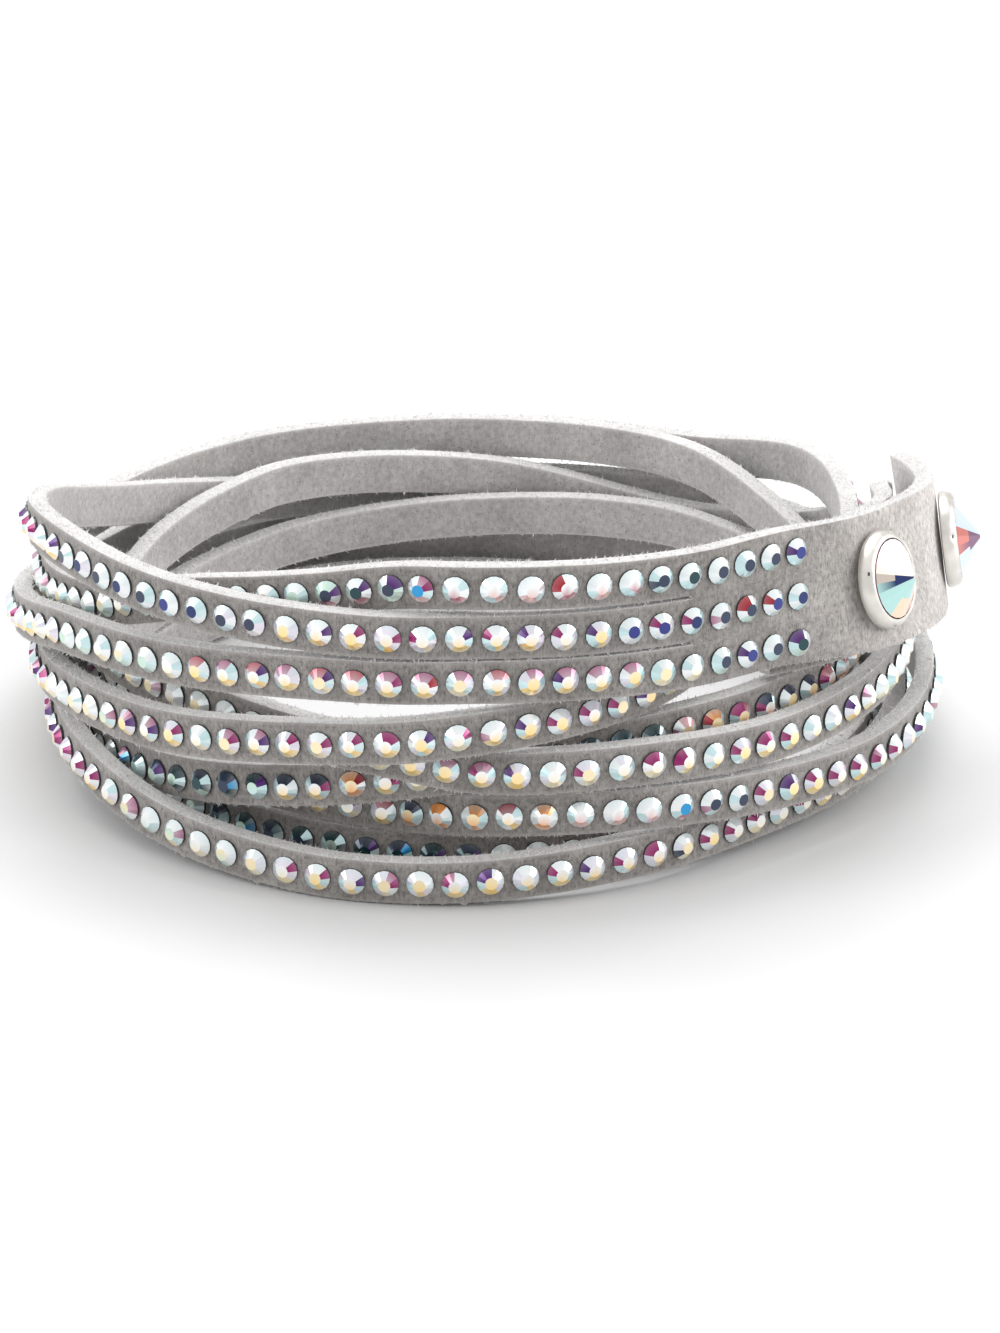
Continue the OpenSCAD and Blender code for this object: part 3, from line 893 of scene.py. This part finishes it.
# Outline of a cap's bowl: radius and height above its foot
BOWL_OUTLINE = (
    (0.0, 0.0), (3.15, 0.0), (3.32, 0.08), (3.36, 0.25), (3.33, 0.5), (3.24, 0.75),
    (3.12, 0.93), (2.98, 1.05), (2.86, 1.1), (2.75, 1.07), (2.7, 0.98), (2.7, CAP_FLOOR),
    (0.0, CAP_FLOOR),
)
BOWL_SIDES = 64
BOWL_CREASE = 40  # degrees from which an edge of the bowl stays sharp
MERGE_DISTANCE = 0.001
# Pits below the lip: directions, distance from the axis, height, then rim and depth
PIT_TURNS = (80, 168, 260, 350)
PIT_RADIUS, PIT_HEIGHT = 3.18, 0.84
PIT_RIM, PIT_DEPTH = 0.05, 0.12
# painted shade: the pits' dark colour stands in for the shade inside them
PIT_SHADE_COLOUR = (0.12, 0.11, 0.10)
CRYSTAL_SIDES = 24
CRYSTAL_HEIGHT = 2.1
GIRDLE_HEIGHT = 0.6
POINT_DIAMETER = 0.4
CROWN_BREAK = 0.5  # share of the crown's slope where each facet's outer half ends
BREAK_MARGIN = 0.1
CRYSTAL_ROUGHNESS = 0.08
SALMON = (0.62, 0.20, 0.17)
DUSKY = (0.22, 0.11, 0.19)
SAND = (0.60, 0.52, 0.45)
PEACH = (0.90, 0.68, 0.50)
AQUA = (0.44, 0.70, 0.67)
ICE = (0.66, 0.76, 0.88)
# Painted reflections on the broad facets of the two crystals: first angle from the right and
# anticlockwise, tones of the outer half at the girdle and at its end, tone of the inner half
CRYSTAL_TONES = {
    "front": (
        (0, MINT, MINT, MINT), (30, WHITE, WHITE, WHITE), (105, WHITE, SAND, SAND),
        (120, SAND, SAND, SAND), (165, SAND, SAND, NAVY), (180, AQUA, NAVY, NAVY),
        (195, AQUA, AQUA, AQUA), (240, PEACH, PEACH, AQUA), (285, ROSE, PEACH, PEACH),
        (315, MAUVE, WHITE, WHITE), (330, MINT, MINT, MINT),
    ),
    "end": (
        (0, WHITE, WHITE, WHITE), (60, ICE, ICE, ICE), (150, SALMON, SALMON, DUSKY),
        (180, SALMON, DUSKY, DUSKY), (195, ICE, ICE, DUSKY), (210, ICE, ICE, ICE),
        (270, WHITE, WHITE, WHITE), (315, MINT, MINT, MINT),
    ),
}


def bowl(snap):
    """The rounded metal bowl of a cap with four small pits near its lip."""
    bm = bmesh.new()
    verts = [bm.verts.new((radius, 0, height)) for radius, height in BOWL_OUTLINE]
    edges = [bm.edges.new(pair) for pair in zip(verts, verts[1:])]
    bmesh.ops.spin(
        bm, geom=verts + edges, cent=(0, 0, 0), axis=(0, 0, 1), dvec=(0, 0, 0),
        angle=2 * math.pi, steps=BOWL_SIDES, use_merge=True,
    )
    bmesh.ops.remove_doubles(bm, verts=bm.verts[:], dist=MERGE_DISTANCE)
    bmesh.ops.recalc_face_normals(bm, faces=bm.faces[:])
    for face in bm.faces:
        face.smooth = True
    for edge in bm.edges:
        edge.smooth = edge.calc_face_angle(0) < math.radians(BOWL_CREASE)
    for turn in map(math.radians, PIT_TURNS):
        spot = Vector((PIT_RADIUS * math.cos(turn), PIT_RADIUS * math.sin(turn), PIT_HEIGHT))
        pit = min(bm.faces, key=lambda f: (f.calc_center_median() - spot).length)
        bmesh.ops.inset_region(bm, faces=[pit], thickness=PIT_RIM)
        # the pit takes the painted shade
        pit.material_index = 1
        bmesh.ops.translate(bm, verts=pit.verts[:], vec=pit.normal * -PIT_DEPTH)
    bmesh.ops.translate(bm, verts=bm.verts[:], vec=(0, 0, THICKNESS / 2 + CAP_SEAT))
    bmesh.ops.transform(bm, verts=bm.verts[:], matrix=snap_axis(snap))
    return bm


def crystal(snap):
    """A pointed crystal, from its girdle up to a very small table."""
    bm = bmesh.new()
    bmesh.ops.create_circle(bm, cap_ends=True, segments=CRYSTAL_SIDES, radius=CRYSTAL_GIRDLE / 2)
    crown = CRYSTAL_HEIGHT - GIRDLE_HEIGHT
    middle = CRYSTAL_GIRDLE + (POINT_DIAMETER - CRYSTAL_GIRDLE) * CROWN_BREAK
    raise_top(bm, (
        (GIRDLE_HEIGHT, 1.0), (crown * CROWN_BREAK, middle / CRYSTAL_GIRDLE),
        (crown * (1 - CROWN_BREAK), POINT_DIAMETER / middle),
    ))
    seat = THICKNESS / 2 + CAP_SEAT + CAP_FLOOR + CRYSTAL_GAP
    bmesh.ops.translate(bm, verts=bm.verts[:], vec=(0, 0, seat))
    bmesh.ops.recalc_face_normals(bm, faces=bm.faces[:])
    # each facet is painted with its reflection tones, and its girdle wall is mauve
    paint = bm.loops.layers.float_color.new("facet")
    for face in bm.faces:
        spot = face.calc_center_median()
        turn = math.degrees(math.atan2(spot.y, spot.x)) % 360
        girdle, end, inner = [tones for first, *tones in CRYSTAL_TONES[snap] if first <= turn][-1]
        rest = end if spot.xy.length * 2 > middle else inner
        for loop in face.loops:
            colour = girdle if loop.vert.co.xy.length * 2 > middle + BREAK_MARGIN else rest
            loop[paint] = (*(MAUVE if abs(face.normal.z) < UPRIGHT else colour), 1)
    bmesh.ops.transform(bm, verts=bm.verts[:], matrix=snap_axis(snap))
    return bm


class BRACELET_OT_caps(bpy.types.Operator):
    """Make the two snap caps with their pointed crystals and finish the snaps' metal"""

    bl_idname = "bracelet.caps"
    bl_label = "Snap Caps"

    def execute(self, context):
        settings = context.scene.bracelet
        metal = metal_material("Plated Metal", settings.metal_colour)
        # painted shade for the pits
        shade = metal_material("Pit Painted Shade", PIT_SHADE_COLOUR)
        glass = faceted_material("Coated Crystal", CRYSTAL_ROUGHNESS)
        for snap in SNAPS:
            cap = new_object("snap_cap_%s_bowl" % snap, bowl(snap), [metal, shade])
            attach(cap, "root")
            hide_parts("snap_cap_%s" % snap)
            piece = new_object("crystal_%s_cut" % snap, crystal(snap), [glass])
            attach(piece, "root")
            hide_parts("crystal_%s" % snap)
        for name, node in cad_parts.items():
            if name.startswith(("snap_socket", "snap_stud")):
                for slot in node.material_slots:
                    slot.material = metal
        return {"FINISHED"}


# ------------------------------------------------------------------- stage

# The camera, in mm, and the photo's size in pixels that its lens is stated for
CAMERA_AIM = Vector((-0.7, -0.3, 4.8))
CAMERA_DISTANCE = 450.0
CAMERA_ELEVATION = 20.5
FOCAL_PIXELS = 6381.0
PHOTO_HEIGHT = 1333
PHOTO_CENTRE_SHIFT = 20.0
SENSOR = 36.0

# The floor and the light, in metres and watts
FLOOR_HALF = 3.0
FLOOR_TONES = [(0.3, (0.64, 0.64, 0.645)), (0.7, (0.67, 0.67, 0.675))]
SOFTBOXES = (  # name, place, height of the spot it faces, size, power
    ("Top softbox", (-0.05, 0.2, 0.5), 0.0, (0.5, 0.4), 2.2),
    ("Right softbox", (0.45, 0.0, 0.22), 0.01, (0.4, 0.3), 1.3),
    ("Left softbox", (-0.5, -0.1, 0.25), 0.01, (0.4, 0.3), 0.9),
)


def add_light(name, place, aim_height, size, power):
    """Soft rectangular light that faces the bracelet's axis."""
    lamp = bpy.data.lights.new(name, "AREA")
    lamp.shape = "RECTANGLE"
    lamp.size, lamp.size_y = size
    lamp.energy = power
    holder = bpy.data.objects.new(name, lamp)
    holder.location = place
    view = Vector((0, 0, aim_height)) - Vector(place)
    holder.rotation_euler = view.to_track_quat("-Z", "Y").to_euler()
    bpy.context.scene.collection.objects.link(holder)


class BRACELET_OT_stage(bpy.types.Operator):
    """Add the pale floor, the soft studio light and the camera"""

    bl_idname = "bracelet.stage"
    bl_label = "Stage"

    def execute(self, context):
        scene = context.scene
        settings = scene.bracelet
        bm = bmesh.new()
        bmesh.ops.create_grid(bm, x_segments=2, y_segments=2, size=FLOOR_HALF)
        material, tree, principled = shader("Pale Floor")
        cloud = clouds(tree, place_of(tree, "Object"), FLOOR_CLOUDS, detail=2.0)
        connect(tree, principled, {
            "Base Color": colour_ramp(tree, cloud, FLOOR_TONES), "Roughness": 0.6,
        })
        floor = new_object("floor", bm, [material])
        world = bpy.data.worlds.new("Studio")
        scene.world = world
        world.use_nodes = True
        connect(world.node_tree, world.node_tree.nodes["Background"], {
            "Color": (1, 1, 1, 1), "Strength": settings.sky_strength,
        })
        for softbox in SOFTBOXES:
            add_light(*softbox)
        camera = bpy.data.cameras.new("Camera")
        camera.sensor_width = SENSOR
        camera.lens = FOCAL_PIXELS * SENSOR / PHOTO_HEIGHT
        camera.shift_x = PHOTO_CENTRE_SHIFT / PHOTO_HEIGHT
        holder = bpy.data.objects.new("Camera", camera)
        tilt = math.radians(CAMERA_ELEVATION)
        back = Vector((0, -math.cos(tilt), math.sin(tilt))) * CAMERA_DISTANCE
        holder.location = (CAMERA_AIM + back) * MM
        holder.rotation_euler = (math.pi / 2 - tilt, 0, 0)
        scene.collection.objects.link(holder)
        scene.camera = holder
        scene.view_settings.view_transform = "Standard"
        return {"FINISHED"}


# ---------------------------------------------------------------- settings

def colour_property(name, description, default):
    """Setting that holds a colour."""
    return bpy.props.FloatVectorProperty(
        name=name, description=description, subtype="COLOR", size=3, min=0, max=1, default=default
    )


class BraceletSettings(bpy.types.PropertyGroup):
    section_step: bpy.props.FloatProperty(
        name="Section Step", description="Degrees between two rows of the band's faces", default=2.0
    )
    stone_diameter: bpy.props.FloatProperty(
        name="Stone Diameter", description="Width of a small stone in millimetres", default=1.82
    )
    suede_dark: colour_property(
        "Suede Shadow", "Colour between the nap's fibres", (0.155, 0.144, 0.135)
    )
    suede_light: colour_property("Suede Nap", "Colour of the nap", (0.42, 0.395, 0.375))
    inside_dark: colour_property(
        "Inside Shadow", "Darker colour of the band's inner side", (0.29, 0.277, 0.27)
    )
    inside_light: colour_property(
        "Inside Nap", "Colour of the band's inner side", (0.58, 0.56, 0.55)
    )
    edge_dark: colour_property(
        "Cut Edge Shadow", "Darker colour of the cut edges", (0.44, 0.43, 0.42)
    )
    edge_light: colour_property("Cut Edge", "Colour of the fuzzy cut edges", (0.68, 0.67, 0.66))
    fibre_light: colour_property(
        "Edge Fibres", "Lightest colour of the loose fibres on the cut edges", (0.84, 0.83, 0.82)
    )
    metal_colour: colour_property("Plated Metal", "Colour of the snaps' metal", (0.82, 0.79, 0.74))
    sky_strength: bpy.props.FloatProperty(
        name="Sky Strength", description="Brightness of the even light all round",
        default=0.9, min=0,
    )


OPERATORS = (
    BRACELET_OT_band, BRACELET_OT_fuzz, BRACELET_OT_stones, BRACELET_OT_caps, BRACELET_OT_stage,
)


class BRACELET_PT_panel(bpy.types.Panel):
    """Lists the steps that make the bracelet"""

    bl_idname = "BRACELET_PT_panel"
    bl_label = "Wrap Bracelet"
    bl_space_type = "VIEW_3D"
    bl_region_type = "UI"
    bl_category = "Bracelet"

    def draw(self, context):
        settings = context.scene.bracelet
        for name in settings.bl_rna.properties.keys():
            if name not in ("rna_type", "name"):
                self.layout.prop(settings, name)
        for operator in OPERATORS:
            self.layout.operator(operator.bl_idname)


CLASSES = (BraceletSettings, *OPERATORS, BRACELET_PT_panel)


def register():
    for item in CLASSES:
        bpy.utils.register_class(item)
    bpy.types.Scene.bracelet = bpy.props.PointerProperty(type=BraceletSettings)


def unregister():
    del bpy.types.Scene.bracelet
    for item in reversed(CLASSES):
        bpy.utils.unregister_class(item)


def main():
    register()
    bpy.ops.bracelet.band()
    bpy.ops.bracelet.fuzz()
    bpy.ops.bracelet.stones()
    bpy.ops.bracelet.caps()
    bpy.ops.bracelet.stage()


if __name__ == "__main__":
    main()
